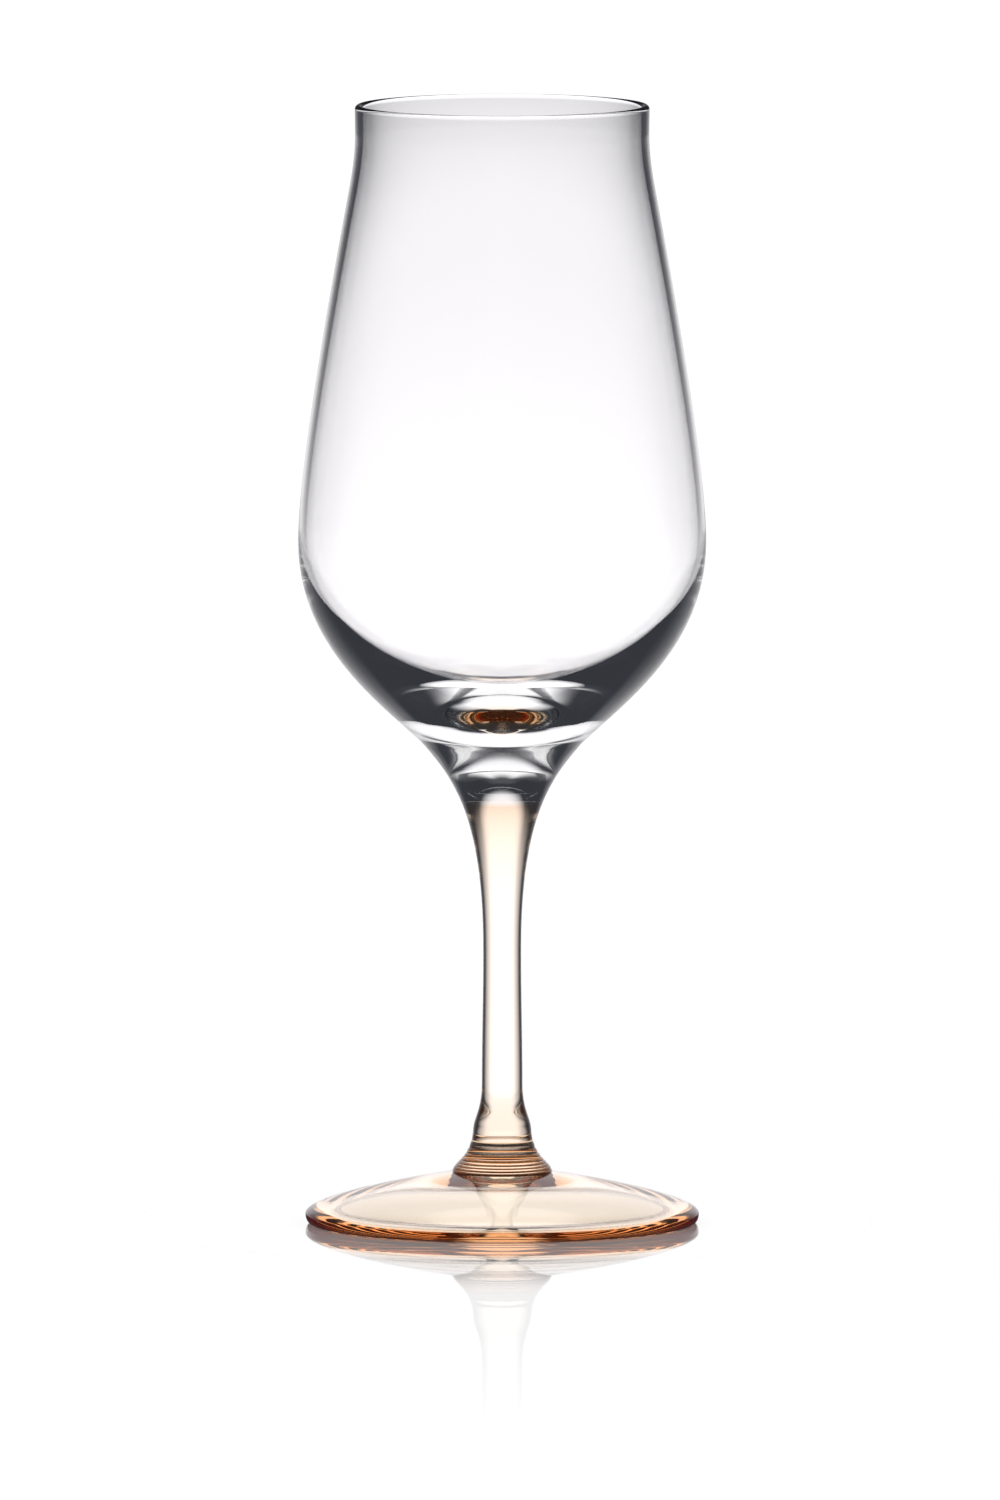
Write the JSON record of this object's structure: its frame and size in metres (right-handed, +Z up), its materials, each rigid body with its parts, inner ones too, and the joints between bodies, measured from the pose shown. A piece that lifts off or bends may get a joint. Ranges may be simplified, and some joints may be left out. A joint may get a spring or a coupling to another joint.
{
  "type": "whisky tasting glass",
  "caption": "Stemmed tasting glass with a clear tulip bowl that narrows to the mouth, a slim amber stem and an amber domed foot.",
  "frame": {"origin": "centre of the foot's resting plane", "axes": "+Z up along the axis of the glass, from the foot to the lip"},
  "size_m": [0.06, 0.06, 0.165],
  "materials": {
    "clear_bowl": "fire-polished clear glass",
    "amber_stem": "fire-polished amber glass",
    "amber_foot": "fire-polished amber glass"
  },
  "bodies": {
    "root": {"bowl": "clear_bowl", "stem": "amber_stem", "foot": "amber_foot"}
  },
  "joints": []
}
